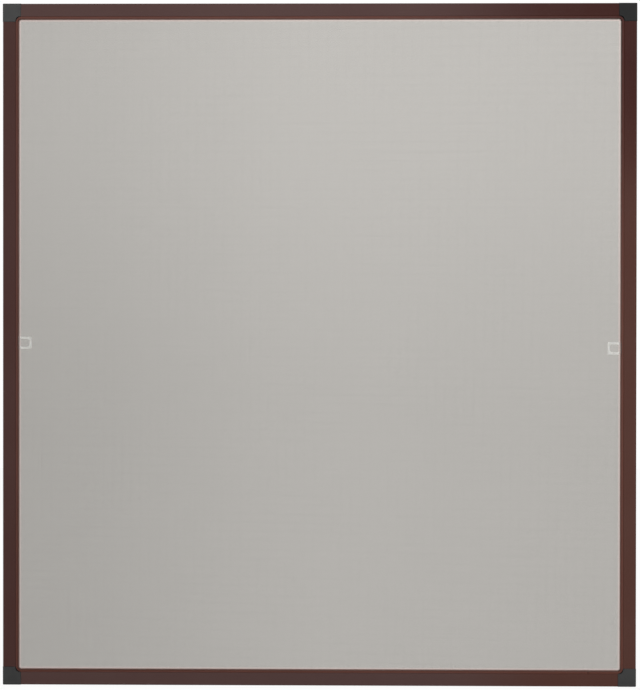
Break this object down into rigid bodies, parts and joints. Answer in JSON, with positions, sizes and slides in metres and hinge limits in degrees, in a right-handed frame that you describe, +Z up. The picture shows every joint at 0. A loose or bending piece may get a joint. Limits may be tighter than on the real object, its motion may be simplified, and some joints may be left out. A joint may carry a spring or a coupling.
{
  "type": "window screen frame",
  "caption": "Framed insect screen for a window: coated aluminium rails on moulded corners, woven mesh held in a groove by a spline, and clear pull loops at the sides.",
  "frame": {"origin": "middle of the bottom rail's outer edge, half-way through the frame's depth", "axes": "+Z up the frame as it is fixed in a window, +X across to the right as seen from the spline side, and the spline side faces -Y"},
  "size_m": [0.9906, 0.0112, 1.0666],
  "materials": {
    "brown_coat": "satin",
    "grey_moulding": "satin",
    "brown_spline": "satin",
    "mesh": "matte",
    "clear_plastic": "satin"
  },
  "bodies": {
    "root": {"top_rail": "brown_coat", "bottom_rail": "brown_coat", "left_rail": "brown_coat", "right_rail": "brown_coat", "corner_top_left": "grey_moulding", "corner_top_right": "grey_moulding", "corner_bottom_left": "grey_moulding", "corner_bottom_right": "grey_moulding", "retaining_spline": "brown_spline", "screen_mesh": "mesh", "pull_tab_left": "clear_plastic", "pull_tab_right": "clear_plastic"}
  },
  "joints": []
}
